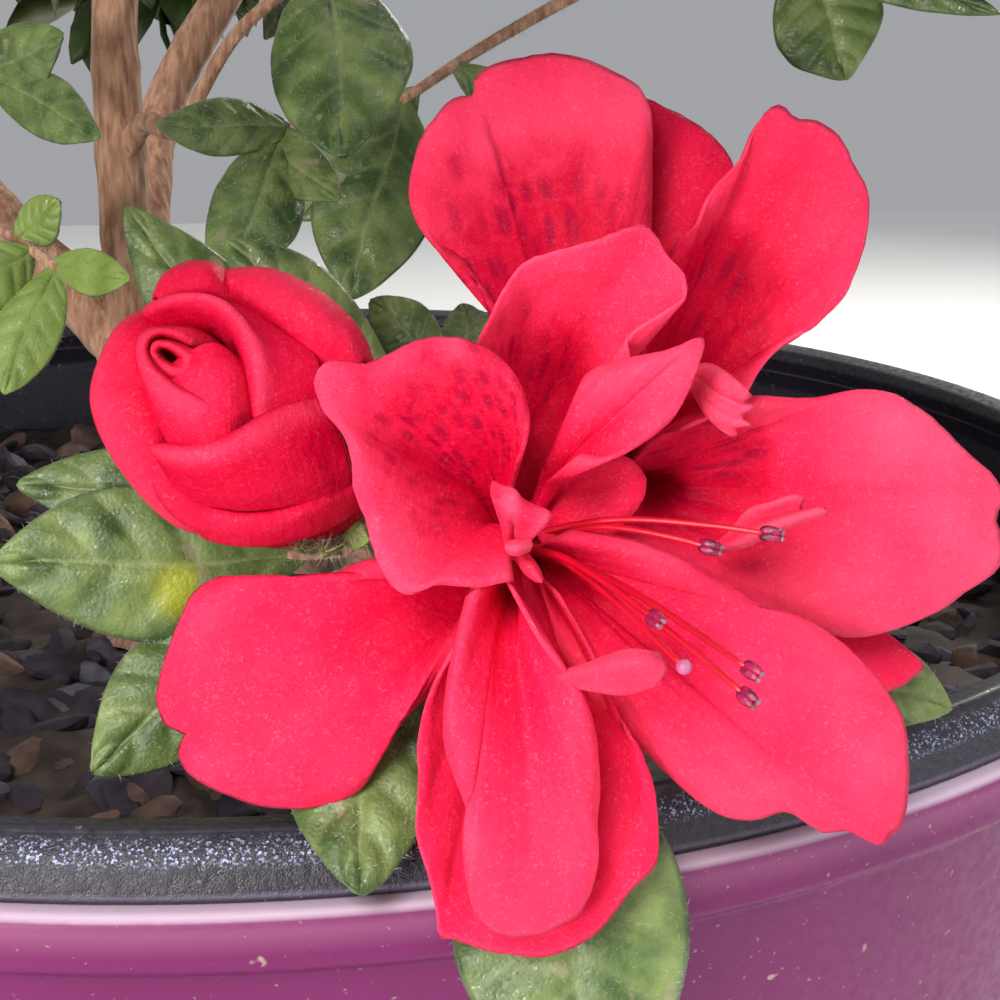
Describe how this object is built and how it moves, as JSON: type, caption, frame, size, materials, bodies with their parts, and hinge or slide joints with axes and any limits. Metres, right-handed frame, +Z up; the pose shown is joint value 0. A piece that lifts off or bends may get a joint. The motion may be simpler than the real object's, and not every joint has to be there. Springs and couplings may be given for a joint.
{
  "type": "potted azalea shrub",
  "caption": "Evergreen azalea shrub in a round lined nursery pot, with open semi-double coral-red blooms and an opening bud hanging over the rim.",
  "frame": {"origin": "middle of the pot's flat underside", "axes": "+Z up along the plant, -Y towards the side of the pot that the open blooms hang over, +X to the right seen from there"},
  "size_m": [0.3874, 0.3864, 0.5823],
  "materials": {
    "pot_purple": "moulded purple plastic with a soft sheen, dusty, with a bright worn ledge",
    "pot_black": "rough black plastic with scuffed glints",
    "bark_mix": "damp dark bark chips",
    "bark": "brown, finely flaking and hairy",
    "leaf": "deep green, softly glossy and hairy",
    "petal": "coral red, satin and faintly sparkling"
  },
  "bodies": {
    "root": {"pot_shell": "pot_purple", "pot_liner": "pot_black", "potting_mix": "bark_mix", "trunk": "bark", "bough_upright": "bark", "bough_left": "bark", "bough_back": "bark", "bough_front": "bark", "bough_view_left": "bark", "bough_view_middle": "bark", "bough_view_top": "bark", "bough_skirt_right": "bark", "bough_skirt_rear": "bark", "bough_skirt_left": "bark", "bough_skirt_left_front": "bark", "bough_skirt_front": "bark", "bough_skirt_right_front": "bark", "bough_shoulder_right": "bark", "bough_shoulder_rear": "bark", "bough_shoulder_left": "bark", "bough_shoulder_front": "bark", "bough_crown_top": "bark", "bough_low_left": "bark", "foliage_skirt_right": "leaf", "foliage_skirt_rear": "leaf", "foliage_skirt_left": "leaf", "foliage_skirt_left_front": "leaf", "foliage_skirt_front": "leaf", "foliage_skirt_right_front": "leaf", "foliage_shoulder_right": "leaf", "foliage_shoulder_rear": "leaf", "foliage_shoulder_left": "leaf", "foliage_shoulder_front": "leaf", "foliage_crown_top": "leaf", "foliage_low_left": "leaf", "foliage_view_left": "leaf", "foliage_view_middle": "leaf", "foliage_view_top": "leaf", "foliage_front_shoot": "leaf", "bloom_front": "petal", "bloom_rear": "petal", "rose_bud": "petal"}
  },
  "joints": []
}
